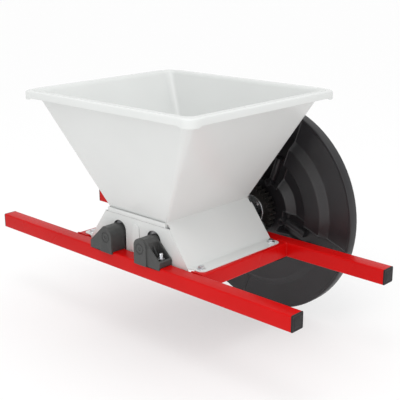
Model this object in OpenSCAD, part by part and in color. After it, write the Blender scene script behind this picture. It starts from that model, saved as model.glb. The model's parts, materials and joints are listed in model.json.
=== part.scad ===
// Hand-turned fruit crusher: a sheet-metal hopper over two geared, lobed rollers, on a
// square-tube frame that lies across a vat, with a flywheel and crank grip on one roller's shaft.
// Origin: centre of the frame, on the plane of the rails' undersides. X runs along the rails,
// Y from the front rail to the flywheel side, Z up. Millimetres.

/* [Frame] */
// Length of the rails over their end caps
frame_len = 800; // [700:10:1000]
// Depth over the outer faces of both rails
frame_depth = 300; // [296:1:306]
// Side of the square tube
tube = 30; // [28:1:32]
// Wall of the square tube
tube_wall = 2; // [1.5:0.5:3]
// Outer corner radius of the square tube
tube_corner = 2.5; // [2:0.5:4]
// Outer face of each crossbar, from the middle
crossbar_out = 178; // [176:1:190]
// Thickness of the end caps' flange
cap_flange = 2.5; // [1.5:0.5:4]

/* [Hopper] */
// Thickness of the sheet
sheet = 1.2; // [1:0.1:2]
// Height of the rim above the rails' undersides
rim_z = 330; // [300:5:360]
// Half length of the rim, outside
rim_x = 228; // [220:1:240]
// Half depth of the rim, outside
rim_y = 200; // [192:1:210]
// Width of the flat top of the rim
rim_w = 14; // [8:1:18]
// Height of the turned-down lip
lip_h = 15; // [10:1:20]
// Corner radius of the rim
rim_corner = 20; // [12:1:30]
// Height of the fold at the waist
waist_z = 106; // [104:0.5:108]
// Half length of the waist
waist_x = 81; // [80:0.5:82]
// Half depth of the waist
waist_y = 114; // [112:0.5:114.5]
// Half length of the roller housing where it meets the frame
skirt_x = 137.5; // [136:0.5:140]
// Outer edge of the housing's flange
flange_x = 169.5; // [166:0.5:174]
// Half depth of the housing's flange
flange_y = 112.5; // [110:0.5:114]

/* [Rollers] */
// Distance of each axle from the middle
axle_x = 48.5; // [48:0.25:49.5]
// Height of the axles
axle_z = 61; // [60:0.5:62]
// Radius of the shafts
shaft_r = 10; // [8:0.5:10]
// Tip radius of the lobed rollers
roller_tip = 46; // [44:0.5:46]
// Depth of the hollows between the lobes
lobe_depth = 7; // [4:0.5:9]
// Number of lobes on a roller
lobes = 8; // [6:1:12]
// Number of teeth on each gear
teeth = 28; // [24:2:32]
// Width of the gears
gear_w = 18; // [14:1:20]

/* [Flywheel] */
// Radius of the flywheel
wheel_r = 225; // [215:1:230]
// Number of hollow spokes
spokes = 4; // [3:1:5]
// Direction of the first spoke, seen from the front
spoke_angle = -20; // [-45:1:45]
// Width of a spoke's channel
spoke_w = 44; // [36:1:50]
// Distance of the grip from the axle
crank_r = 165; // [158:1:172]
// Length of the grip
grip_len = 108; // [90:1:120]

/* [Hidden] */
$fn = 48;

red_paint = "crimson";
white_paint = "whitesmoke";
black_plastic = "dimgray";
zinc = "silver";
steel = "lightslategray";
cast_aluminium = "gainsboro";
gear_iron = "saddlebrown";

// Clearances
run_fit = 0.05;
hair = 0.1;
slab = 0.02;

// Frame
rail_y = frame_depth / 2 - tube / 2;
rail_in = frame_depth / 2 - tube;
crossbar_x = crossbar_out - tube / 2;
cap_plug = 14;
cap_slack = 0.2;

// Housing sheets: the plates stand just inside the rails
plate_y = rail_in - 2.5;
plate_low = 4;
ledge_z = waist_z - 9;
mouth_x = rim_x - rim_w;
mouth_y = rim_y - rim_w;
mouth_corner = 18;
waist_corner = 3;
skirt_lean = (skirt_x - waist_x) / (waist_z - tube - sheet);
skirt_wall = 1.5;
flange_corner = 12;
arch_r = 18.5;
arch_z = axle_z + 4.5;
rib_w = 20;
rib_top = 88;
rib_proud = 2.5;

// Housing screws, M6, into the crossbars' top walls
screw_x = 153.5;
screw_y = 99.5;
screw_r = 3;
screw_len = 22;
screw_head_r = 5.8;
screw_head_h = 4;
washer_h = 1.6;

// Bearing blocks: a boss round the axle, and a hollow wedge that slopes to a bolted toe
boss_r = 16.5;
block_in = axle_x - boss_r;
block_out = 98;
block_front = 154;
block_back = 119;
boss_step = 3;
block_wall = 3;
block_lip_z = tube - 4;
toe_z = 41;
shoulder_x = 58;
barrel_end = 114.5;
bore_floor = 6;
pocket_z = tube + 6;
pocket_x = axle_x + boss_r + 0.5;
web_t = 2.5;
web_len = 11;

// Block bolts, M8: their heads are held inside the rails, so the undersides stay flat
bolt_x = 86;
bolt_r = 4;
bolt_hole_r = 4.5;
bolt_head_r = 7.5;
bolt_head_h = 5.3;
bolt_top = 54;
nut_r = 7.5;
nut_h = 6.5;
block_washer_r = 9;

// Rollers and shafts
roller_half = 112;
shaft_start = -147.5;
pin_r = 3;
pin_y = 82;
pin_sink = 0.5;
lobe_steps = 12;
lobe_mean = roller_tip - lobe_depth / 2;

// Gears: one module for both, so the centres are two pitch radii apart
gear_y = 163;
pitch_r = axle_x;
gear_module = 2 * pitch_r / teeth;
base_r = pitch_r * cos(20);
tip_r = pitch_r + gear_module;
root_r = pitch_r - 1.25 * gear_module;
tooth_slack = 0.2;
gear_flange_r = 33;
gear_flange_t = 3;
gear_screw_r = 2.5;
gear_screw_head_r = 4.6;
gear_screw_head_h = 3;
gear_screw_pcr = 24;
gear_screw_count = 4;
key_w = 6;
key_in = shaft_r - 3;
key_out = shaft_r + 3;
gear_end = gear_y + gear_w;

// Flywheel stations along the axle
hub_y = gear_end + 3;
hub_end = 228;
hub_r = 30;
rim_front = 200;
rim_back = 220;
rim_ring = 11;
wall = 4.5;
panel_out = 173;
panel_in = 157;
panel_front = 189;
recess_r = 119;
recess_front = 205;
cone_out = 86;
cone_in = 70;
cone_front = 192;
channel_deep = 211;
tube_rib_r = 7;
tube_rib_in = 60;
end_boss_r = 9;
wheel_key_y = 196;
wheel_key_len = 26;
wheel_thread_r = 8;
wheel_washer_r = 17;
wheel_washer_h = 3;
wheel_nut_r = 13.8;
wheel_nut_h = 12;

// Handle, on the second spoke from the first: its spindle, nut and grip
handle_angle = spoke_angle + 2 * 360 / spokes;
handle_boss_r = 15;
handle_boss_end = 226;
spindle_r = 6;
thread_r = 5;
handle_nut_r = 9.8;
handle_nut_h = 8;
handle_washer_r = 11;
grip_y = handle_boss_end + washer_h + 1;
grip_r = 14;
grip_swell = 2.5;
grip_steps = 18;
spindle_head_r = 10;
spindle_head_h = 5;
handle_thread_y = channel_deep - 2 - washer_h - handle_nut_h - 2;

// ---- helpers ----

// Extrudes a profile drawn in (Y, Z) along X
module along_x(x0, len) translate([x0, 0, 0]) rotate([90, 0, 90]) linear_extrude(len) children();

// Extrudes a profile drawn in (X, Z) along Y
module along_y(y0, len) translate([0, y0 + len, 0]) rotate([90, 0, 0]) linear_extrude(len) children();

// Turns a shape built up Z so that it lies along +Y from y0
module from_y(y0) translate([0, y0, 0]) rotate([-90, 0, 0]) children();

// Moves children to the drive axle (side 1) or the driven axle (side -1)
module on_axle(side) translate([side * axle_x, 0, axle_z]) children();

// Turns children about an axle to an angle seen from the front, +X towards +Z
module turned(angle) rotate([0, -angle, 0]) children();

// Mirrors a front right-hand part to the side sx and the rail sy
module quadrant(sx, sy)
    mirror([sx < 0 ? 1 : 0, 0, 0])
        mirror([0, sy > 0 ? 1 : 0, 0])
            children();

module rounded_rect(w, h, r) {
    square([w - 2 * r, h], center = true);
    square([w, h - 2 * r], center = true);
    for (sx = [-1, 1], sy = [-1, 1])
        translate([sx * (w / 2 - r), sy * (h / 2 - r)]) circle(r);
}

module tube_profile() difference() {
    rounded_rect(tube, tube, tube_corner);
    square(tube - 2 * tube_wall, center = true);
}

module washer(r, hole, h) linear_extrude(h) difference() {
    circle(r);
    circle(hole);
}

module hex(r, h) cylinder(r = r, h = h, $fn = 6);

function polar(r, a) = [r * cos(a), r * sin(a)];

// ---- frame ----

module rail(side) color(red_paint) difference() {
    along_x(-frame_len / 2 + cap_flange, frame_len - 2 * cap_flange)
        translate([side * rail_y, tube / 2]) tube_profile();
    for (sx = [-1, 1])
        translate([sx * bolt_x, side * rail_y, tube / 2]) cylinder(r = bolt_hole_r, h = tube);
}

module crossbar(side) color(red_paint) difference() {
    along_y(-rail_in, 2 * rail_in)
        translate([side * crossbar_x, tube / 2]) tube_profile();
    for (sy = [-1, 1])
        translate([side * screw_x, sy * screw_y, tube / 2]) cylinder(r = screw_r + hair, h = tube);
}

module end_cap(sx, sy) color(black_plastic)
    mirror([sx < 0 ? 1 : 0, 0, 0]) {
        along_x(frame_len / 2 - cap_flange, cap_flange)
            translate([sy * rail_y, tube / 2]) rounded_rect(tube, tube, tube_corner);
        along_x(frame_len / 2 - cap_flange - cap_plug, cap_plug)
            translate([sy * rail_y, tube / 2]) difference() {
                rounded_rect(tube - 2 * tube_wall - 2 * cap_slack,
                             tube - 2 * tube_wall - 2 * cap_slack, 1);
                square(tube - 2 * tube_wall - 6, center = true);
            }
    }

// ---- hopper and roller housing ----

module funnel_body(inset, over) hull() {
    translate([0, 0, waist_z - over]) linear_extrude(over + slab)
        rounded_rect(2 * (waist_x - inset), 2 * (waist_y - inset), waist_corner);
    translate([0, 0, rim_z - sheet]) linear_extrude(over + slab)
        rounded_rect(2 * (mouth_x - inset), 2 * (mouth_y - inset), mouth_corner);
}

module funnel() color(white_paint) {
    difference() {
        funnel_body(0, 0);
        funnel_body(skirt_wall, 2);
    }
    translate([0, 0, ledge_z - 1]) linear_extrude(waist_z - ledge_z + 1 + slab) difference() {
        rounded_rect(2 * waist_x - hair, 2 * waist_y - hair, waist_corner);
        rounded_rect(2 * (waist_x - sheet), 2 * (waist_y - sheet), waist_corner - sheet);
    }
    translate([0, 0, rim_z - sheet]) linear_extrude(sheet) difference() {
        rounded_rect(2 * rim_x, 2 * rim_y, rim_corner);
        rounded_rect(2 * (mouth_x - skirt_wall / 2), 2 * (mouth_y - skirt_wall / 2), mouth_corner);
    }
    translate([0, 0, rim_z - lip_h]) linear_extrude(lip_h) difference() {
        rounded_rect(2 * rim_x, 2 * rim_y, rim_corner);
        rounded_rect(2 * (rim_x - sheet), 2 * (rim_y - sheet), rim_corner - sheet);
    }
}

module plate_outline() polygon([
    [-skirt_x, plate_low], [skirt_x, plate_low], [skirt_x, tube + sheet],
    [skirt_x - skirt_lean * (ledge_z - tube - sheet), ledge_z],
    [-skirt_x + skirt_lean * (ledge_z - tube - sheet), ledge_z], [-skirt_x, tube + sheet]
]);

// Slot that lets the plate drop over a bearing barrel
module arch_slot(side) {
    translate([side * axle_x, arch_z]) circle(arch_r);
    translate([side * axle_x - arch_r, 0]) square([2 * arch_r, arch_z]);
}

// Front or rear wall of the roller housing, with a stiffening rib and a ledge for the funnel
module chute_plate(side) color(white_paint)
    mirror([0, side > 0 ? 1 : 0, 0]) {
        along_y(-plate_y, sheet) difference() {
            plate_outline();
            for (sx = [-1, 1]) arch_slot(sx);
        }
        along_y(-plate_y - rib_proud, rib_proud) {
            translate([-rib_w / 2, tube + 2]) square([rib_w, rib_top - rib_w / 2 - tube - 2]);
            translate([0, rib_top - rib_w / 2]) circle(rib_w / 2);
        }
        translate([-waist_x, -plate_y, ledge_z - sheet])
            cube([2 * waist_x, plate_y - waist_y, sheet]);
    }

module skirt(side) color(white_paint)
    mirror([side < 0 ? 1 : 0, 0, 0]) {
        along_y(-plate_y + sheet, 2 * (plate_y - sheet)) polygon([
            [waist_x, waist_z - slab], [skirt_x, tube + sheet], [skirt_x, tube],
            [skirt_x - skirt_wall, tube], [skirt_x - skirt_wall, tube + sheet],
            [waist_x, waist_z - 2 * sheet]
        ]);
        translate([0, 0, tube]) linear_extrude(sheet) difference() {
            union() {
                translate([skirt_x - skirt_wall, -flange_y])
                    square([flange_x - flange_corner - skirt_x + skirt_wall, 2 * flange_y]);
                translate([skirt_x, -flange_y + flange_corner])
                    square([flange_x - skirt_x, 2 * (flange_y - flange_corner)]);
                for (sy = [-1, 1])
                    translate([flange_x - flange_corner, sy * (flange_y - flange_corner)])
                        circle(flange_corner);
            }
            for (sy = [-1, 1]) translate([screw_x, sy * screw_y]) circle(screw_r + hair);
        }
    }

module at_housing_screws() for (sx = [-1, 1], sy = [-1, 1])
    translate([sx * screw_x, sy * screw_y, tube + sheet]) children();

module housing_washers() color(zinc) at_housing_screws() washer(8, screw_r + hair, washer_h);

module housing_screws() color(zinc) at_housing_screws() {
    translate([0, 0, washer_h]) hex(screw_head_r, screw_head_h);
    translate([0, 0, washer_h - screw_len]) cylinder(r = screw_r, h = screw_len);
}

// ---- bearing blocks ----

module boss_outline() {
    translate([block_in, block_lip_z]) square([2 * boss_r, axle_z - block_lip_z]);
    translate([axle_x, axle_z]) circle(boss_r);
}

module block_outline() {
    polygon([
        [block_in, block_lip_z], [block_out, block_lip_z], [block_out, toe_z],
        [shoulder_x, axle_z + boss_r], [axle_x, axle_z + boss_r], [block_in, axle_z]
    ]);
    translate([axle_x, axle_z]) circle(boss_r);
}

module block_pocket() difference() {
    translate([pocket_x, -block_front + boss_step + block_wall, pocket_z])
        cube([block_out - block_wall - pocket_x,
              block_front - boss_step - block_back - 2 * block_wall, 60]);
    along_y(-rail_y - web_t / 2, web_t) polygon([
        [pocket_x - 1, pocket_z - 1], [pocket_x + web_len, pocket_z - 1],
        [pocket_x + web_len, toe_z + 8], [pocket_x - 1, axle_z + boss_r - 10]
    ]);
}

// One bearing block; the rear ones are bored through, the front ones are blind
module bearing_block(sx, sy) color(black_plastic) quadrant(sx, sy) difference() {
    union() {
        along_y(-block_front + boss_step, block_front - boss_step - block_back) block_outline();
        along_y(-block_front, boss_step + 1) boss_outline();
        translate([axle_x, -block_back - 1, axle_z]) from_y(0)
            cylinder(r = boss_r, h = block_back + 1 - barrel_end);
    }
    translate([0, -frame_depth / 2, 0]) cube([frame_len / 4, frame_depth / 2, tube]);
    block_pocket();
    translate([axle_x, sy > 0 ? -block_front - 1 : -block_front + bore_floor, axle_z]) from_y(0)
        cylinder(r = shaft_r + run_fit, h = block_front);
    translate([bolt_x, -rail_y, tube - 1]) cylinder(r = bolt_hole_r, h = 40);
}

module at_block_bolts() for (sx = [-1, 1], sy = [-1, 1])
    translate([sx * bolt_x, sy * rail_y, 0]) children();

module block_bolts() color(zinc) at_block_bolts() {
    translate([0, 0, tube - tube_wall - bolt_head_h]) {
        hex(bolt_head_r, bolt_head_h);
        cylinder(r = bolt_r, h = bolt_top - tube + tube_wall + bolt_head_h);
    }
}

module block_washers() color(zinc) at_block_bolts()
    translate([0, 0, pocket_z]) washer(block_washer_r, bolt_r + hair, washer_h);

module block_nuts() color(zinc) at_block_bolts()
    translate([0, 0, pocket_z + washer_h]) difference() {
        hex(nut_r, nut_h);
        translate([0, 0, -1]) cylinder(r = bolt_r + run_fit, h = nut_h + 2);
    }

// ---- rollers, shafts and gears ----

// Key slot or key along an axle, on the side away from the other roller
module key_bar(y0, len, low, high)
    translate([low, y0, -key_w / 2]) cube([high - low, len, key_w]);

// Cross pins that fix a roller to its shaft
module cross_pins(r, half) for (sy = [-1, 1])
    translate([0, sy * pin_y, -half]) cylinder(r = r, h = 2 * half);

// Roller section: lobes that follow a cosine round the mean radius
function lobed_radius(a, phase) = lobe_mean + lobe_depth / 2 * cos(lobes * (a - phase));

module lobed_section(phase) polygon([
    for (i = [0 : lobes * lobe_steps - 1])
        let (a = i * 360 / (lobes * lobe_steps))
        polar(lobed_radius(a, phase), a)
]);

module roller(side, phase) color(cast_aluminium) on_axle(side) difference() {
    from_y(-roller_half) linear_extrude(2 * roller_half) lobed_section(phase);
    from_y(-roller_half - 1) cylinder(r = shaft_r + run_fit, h = 2 * roller_half + 2);
    cross_pins(pin_r + run_fit, roller_tip + 1);
}

module roller_pins(side, phase) color(steel) on_axle(side)
    cross_pins(pin_r, lobed_radius(90, phase) - pin_sink);

module drive_roller() roller(1, 0);
module driven_roller() roller(-1, 180 / lobes);
module drive_roller_pins() roller_pins(1, 0);
module driven_roller_pins() roller_pins(-1, 180 / lobes);

module drive_shaft() color(steel) on_axle(1) difference() {
    union() {
        from_y(shaft_start) cylinder(r = shaft_r, h = hub_end - shaft_start);
        from_y(hub_end) cylinder(r = wheel_thread_r, h = wheel_washer_h + wheel_nut_h + 4);
    }
    cross_pins(pin_r + run_fit, shaft_r + 1);
    key_bar(gear_y, gear_w, key_in, key_out);
    key_bar(wheel_key_y, wheel_key_len, key_in, key_out);
}

module driven_shaft() color(steel) on_axle(-1) difference() {
    from_y(shaft_start) cylinder(r = shaft_r, h = gear_end - shaft_start);
    cross_pins(pin_r + run_fit, shaft_r + 1);
    mirror([1, 0, 0]) key_bar(gear_y, gear_w + 1, key_in, key_out);
    from_y(gear_end - 20) cylinder(r = bolt_r + run_fit, h = 21);
}

// Half the angle that a tooth takes up at radius r, on an involute of 20 degrees
function involute(a) = tan(a) * 180 / PI - a;
function half_tooth(r) =
    90 / teeth + involute(20) - involute(acos(min(1, base_r / r))) - tooth_slack;

module gear_section() polygon([
    for (i = [0 : teeth - 1])
        let (mid = i * 360 / teeth)
        each [
            polar(root_r, mid - half_tooth(base_r)), polar(base_r, mid - half_tooth(base_r)),
            polar(pitch_r, mid - half_tooth(pitch_r)), polar(tip_r, mid - half_tooth(tip_r)),
            polar(tip_r, mid + half_tooth(tip_r)), polar(pitch_r, mid + half_tooth(pitch_r)),
            polar(base_r, mid + half_tooth(base_r)), polar(root_r, mid + half_tooth(base_r))
        ]
]);

module at_gear_screws() for (i = [0 : gear_screw_count - 1])
    rotate([0, (i + 0.5) * 360 / gear_screw_count, 0]) translate([gear_screw_pcr, 0, 0]) children();

module gear(side, phase) color(gear_iron) on_axle(side) difference() {
    from_y(gear_y) linear_extrude(gear_w) rotate(phase) gear_section();
    from_y(gear_y - 1) cylinder(r = shaft_r + run_fit, h = gear_w + 2);
    mirror([side < 0 ? 1 : 0, 0, 0]) key_bar(gear_y - 1, gear_w + 2, 0, key_out);
    at_gear_screws() from_y(gear_y - 1) cylinder(r = gear_screw_r, h = 11);
}

module gear_flange(side) color(zinc) on_axle(side) difference() {
    from_y(gear_y - gear_flange_t) cylinder(r = gear_flange_r, h = gear_flange_t);
    from_y(gear_y - gear_flange_t - 1) cylinder(r = shaft_r + run_fit, h = gear_flange_t + 2);
    at_gear_screws() from_y(gear_y - gear_flange_t - 1)
        cylinder(r = gear_screw_r + hair, h = gear_flange_t + 2);
}

module gear_screws(side) color(zinc) on_axle(side) at_gear_screws() {
    from_y(gear_y - gear_flange_t - gear_screw_head_h) hex(gear_screw_head_r, gear_screw_head_h);
    from_y(gear_y - gear_flange_t) cylinder(r = gear_screw_r, h = gear_flange_t + 10);
}

module drive_gear() gear(1, 0);
module driven_gear() gear(-1, 180 / teeth);
module drive_gear_key() color(steel) on_axle(1) key_bar(gear_y, gear_w, key_in, key_out);
module driven_gear_key() color(steel) on_axle(-1)
    mirror([1, 0, 0]) key_bar(gear_y, gear_w, key_in, key_out);

module driven_gear_washer() color(zinc) on_axle(-1)
    from_y(gear_end) washer(15, bolt_r + hair, wheel_washer_h);

module driven_gear_bolt() color(zinc) on_axle(-1) {
    from_y(gear_end - 18) cylinder(r = bolt_r, h = 18 + wheel_washer_h);
    from_y(gear_end + wheel_washer_h) hex(bolt_head_r, bolt_head_h);
}

// ---- flywheel ----

// Section of the disc between two spokes: rim, raised panel, recess, hub cone and hub
module panel_section() polygon([
    [shaft_r + run_fit, hub_y], [hub_r, hub_y], [hub_r, cone_front], [cone_in, cone_front],
    [cone_out, recess_front], [recess_r - 1, recess_front], [recess_r, panel_front],
    [panel_in, panel_front], [panel_out, rim_front], [wheel_r - 2, rim_front],
    [wheel_r, rim_front + 2], [wheel_r, rim_back - 1], [wheel_r - 1, rim_back],
    [wheel_r - rim_ring, rim_back], [wheel_r - rim_ring, rim_front + wall],
    [panel_out - 2, rim_front + wall], [panel_in - 2, panel_front + wall],
    [recess_r + wall, panel_front + wall], [recess_r + wall - 1, recess_front + wall],
    [cone_out - 2, recess_front + wall], [cone_in - 2, cone_front + wall],
    [hub_r, cone_front + wall], [hub_r, hub_end], [shaft_r + run_fit, hub_end]
]);

// Section of the disc along a spoke's channel
module channel_section() polygon([
    [recess_r - 4, recess_front], [recess_r + 22, recess_front + 2], [recess_r + 30, channel_deep],
    [panel_out, channel_deep - 1], [wheel_r - rim_ring + 1, rim_front],
    [wheel_r - rim_ring + 1, rim_front + wall], [panel_out, channel_deep + wall - 1],
    [recess_r + 30, channel_deep + wall], [recess_r + 22, recess_front + wall + 2],
    [recess_r - 4, recess_front + wall]
]);

// Side wall of a channel, from the panel's face to the channel's floor
module channel_wall() polygon([
    [recess_r - 1, recess_front], [recess_r, panel_front], [panel_in, panel_front],
    [panel_out, rim_front], [wheel_r - rim_ring + 1, rim_front],
    [wheel_r - rim_ring + 1, rim_front + wall], [panel_out, channel_deep + wall - 1],
    [recess_r + 30, channel_deep + wall], [recess_r + 22, recess_front + wall + 2],
    [recess_r - 1, recess_front + wall]
]);

module at_spokes() for (i = [0 : spokes - 1])
    turned(spoke_angle + i * 360 / spokes) children();

module channel_bars(w) at_spokes()
    translate([recess_r - 3, rim_front - 20, -w / 2])
        cube([wheel_r - rim_ring - recess_r + 3, 60, w]);

module wheel_revolve() from_y(0) rotate_extrude($fn = 96) children();

module flywheel() color(black_plastic) on_axle(1) difference() {
    union() {
        difference() {
            wheel_revolve() panel_section();
            channel_bars(spoke_w);
        }
        intersection() {
            wheel_revolve() channel_section();
            channel_bars(spoke_w + 2);
        }
        at_spokes() {
            for (s = [-1, 1])
                translate([0, 0, s * (spoke_w / 2 + wall / 2 - 0.5) - wall / 2])
                    linear_extrude(wall) channel_wall();
            translate([tube_rib_in, recess_front - 1, 0]) rotate([0, 90, 0])
                cylinder(r = tube_rib_r, h = recess_r - tube_rib_in - 2);
            translate([tube_rib_in, cone_front - 2, 0]) from_y(0)
                cylinder(r = end_boss_r, h = recess_front + wall - cone_front);
        }
        turned(handle_angle) translate([crank_r, channel_deep - 2, 0]) from_y(0)
            cylinder(r = handle_boss_r, h = handle_boss_end - channel_deep + 2);
    }
    from_y(hub_y - 1) cylinder(r = shaft_r + run_fit, h = hub_end);
    key_bar(wheel_key_y, hub_end, 0, key_out);
    turned(handle_angle) translate([crank_r, 0, 0]) from_y(hub_y)
        cylinder(r = thread_r + hair, h = 60);
}

module flywheel_key() color(steel) on_axle(1)
    key_bar(wheel_key_y, wheel_key_len, key_in, key_out);

module flywheel_washer() color(zinc) on_axle(1)
    from_y(hub_end) washer(wheel_washer_r, wheel_thread_r + hair, wheel_washer_h);

module flywheel_nut() color(zinc) on_axle(1) difference() {
    from_y(hub_end + wheel_washer_h) hex(wheel_nut_r, wheel_nut_h);
    from_y(hub_end) cylinder(r = wheel_thread_r + run_fit, h = wheel_nut_h + 10);
}

// ---- handle ----

module at_handle() on_axle(1) turned(handle_angle) translate([crank_r, 0, 0]) children();

module handle_spindle() color(zinc) at_handle() {
    from_y(handle_thread_y) cylinder(r = thread_r, h = handle_boss_end + washer_h - handle_thread_y);
    from_y(handle_boss_end + washer_h) cylinder(r = spindle_r, h = grip_len + 2);
    from_y(grip_y + grip_len + 1) cylinder(r = spindle_head_r, h = spindle_head_h);
}

module handle_washers() color(zinc) at_handle() {
    from_y(channel_deep - 2 - washer_h) washer(handle_washer_r, thread_r + hair, washer_h);
    from_y(handle_boss_end) washer(handle_washer_r, thread_r + hair, washer_h);
}

module handle_nut() color(zinc) at_handle() difference() {
    from_y(channel_deep - 2 - washer_h - handle_nut_h) hex(handle_nut_r, handle_nut_h);
    from_y(channel_deep - 20) cylinder(r = thread_r + run_fit, h = 20);
}

function grip_radius(t) = grip_r + grip_swell * sin(180 * t) - 4 * pow(abs(2 * t - 1), 12);

module handle_grip() color(black_plastic) at_handle() from_y(grip_y) rotate_extrude()
    polygon(concat(
        [[spindle_r + run_fit, 0]],
        [for (i = [0 : grip_steps]) [grip_radius(i / grip_steps), grip_len * i / grip_steps]],
        [[spindle_r + run_fit, grip_len]]
    ));

rail(-1);  // front_rail
rail(1);  // rear_rail
crossbar(-1);  // left_crossbar
crossbar(1);  // right_crossbar
end_cap(-1, -1);  // front_left_cap
end_cap(1, -1);  // front_right_cap
end_cap(-1, 1);  // rear_left_cap
end_cap(1, 1);  // rear_right_cap
funnel();
chute_plate(-1);  // front_plate
chute_plate(1);  // rear_plate
skirt(-1);  // left_skirt
skirt(1);  // right_skirt
housing_screws();
housing_washers();
bearing_block(-1, -1);  // front_left_block
bearing_block(1, -1);  // front_right_block
bearing_block(-1, 1);  // rear_left_block
bearing_block(1, 1);  // rear_right_block
block_bolts();
block_washers();
block_nuts();
drive_shaft();
drive_roller();
drive_roller_pins();
drive_gear();
gear_flange(1);  // drive_gear_flange
gear_screws(1);  // drive_gear_screws
drive_gear_key();
driven_shaft();
driven_roller();
driven_roller_pins();
driven_gear();
gear_flange(-1);  // driven_gear_flange
gear_screws(-1);  // driven_gear_screws
driven_gear_key();
driven_gear_washer();
driven_gear_bolt();
flywheel();
flywheel_key();
flywheel_washer();
flywheel_nut();
handle_spindle();
handle_nut();
handle_washers();
handle_grip();
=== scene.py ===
"""Hand fruit crusher: looks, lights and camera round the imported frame."""
import json
import math

import bmesh
import bpy
from mathutils import Matrix, Vector


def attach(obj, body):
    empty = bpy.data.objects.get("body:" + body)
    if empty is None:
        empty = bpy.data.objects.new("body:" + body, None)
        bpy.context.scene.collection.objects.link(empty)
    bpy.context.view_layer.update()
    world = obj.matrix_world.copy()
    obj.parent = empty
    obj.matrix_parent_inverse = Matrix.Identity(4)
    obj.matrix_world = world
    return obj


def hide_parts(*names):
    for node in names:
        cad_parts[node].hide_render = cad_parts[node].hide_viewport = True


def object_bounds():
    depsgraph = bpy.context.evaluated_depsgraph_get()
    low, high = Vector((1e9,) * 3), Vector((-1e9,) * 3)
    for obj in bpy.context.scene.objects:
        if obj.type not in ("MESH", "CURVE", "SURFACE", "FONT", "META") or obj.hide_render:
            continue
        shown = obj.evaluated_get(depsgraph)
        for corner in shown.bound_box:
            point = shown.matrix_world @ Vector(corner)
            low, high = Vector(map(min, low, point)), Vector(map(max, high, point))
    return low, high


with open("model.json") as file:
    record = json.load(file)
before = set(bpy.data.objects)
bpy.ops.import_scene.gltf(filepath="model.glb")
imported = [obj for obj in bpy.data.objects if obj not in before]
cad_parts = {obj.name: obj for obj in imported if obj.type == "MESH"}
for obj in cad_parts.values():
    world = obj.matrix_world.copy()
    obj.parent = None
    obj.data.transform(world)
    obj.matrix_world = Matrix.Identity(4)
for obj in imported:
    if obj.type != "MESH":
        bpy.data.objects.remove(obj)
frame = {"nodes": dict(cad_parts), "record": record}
cad_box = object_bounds()
BODY_OF = {n: b for b, names in frame["record"]["behaviour"]["bodies"].items() for n in names}
SLOT_OF = {s["node"]: s["material_slot"] for s in frame["record"]["subparts"]}
MM = 0.001
scene = bpy.context.scene

# ---- camera, lights and floor ----

CAMERA_AT = Vector((1.1354, -1.1219, 0.5821))
CAMERA_AZ, CAMERA_EL, CAMERA_ROLL = (math.radians(a) for a in (-43.885, 16.544, -0.464))


def aimed(azimuth, elevation, roll):
    """Rotation of a camera that looks along the azimuth, from +Y towards +X, and down."""
    ahead = Vector((math.sin(azimuth) * math.cos(elevation),
                    math.cos(azimuth) * math.cos(elevation), -math.sin(elevation)))
    right = Vector((math.cos(azimuth), -math.sin(azimuth), 0))
    up = right.cross(ahead)
    right, up = (right * math.cos(roll) + up * math.sin(roll),
                 up * math.cos(roll) - right * math.sin(roll))
    return Matrix((right, up, -ahead)).transposed()


def make_camera():
    data = bpy.data.cameras.new("camera")
    data.sensor_width = 36.0
    data.lens = 75.29
    data.clip_end = 60.0
    camera = bpy.data.objects.new("camera", data)
    camera.matrix_world = aimed(CAMERA_AZ, CAMERA_EL, CAMERA_ROLL).to_4x4()
    camera.location = CAMERA_AT
    scene.collection.objects.link(camera)
    scene.camera = camera


def softbox(name, at, target, size, watts, roll=0):
    data = bpy.data.lights.new(name, "AREA")
    data.shape = "RECTANGLE"
    data.size, data.size_y = size
    data.energy = watts
    lamp = bpy.data.objects.new(name, data)
    lamp.location = at
    facing = (Vector(target) - Vector(at)).to_track_quat("-Z", "Y").to_matrix()
    lamp.rotation_euler = (facing @ Matrix.Rotation(math.radians(roll), 3, "Z")).to_euler()
    scene.collection.objects.link(lamp)


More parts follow.
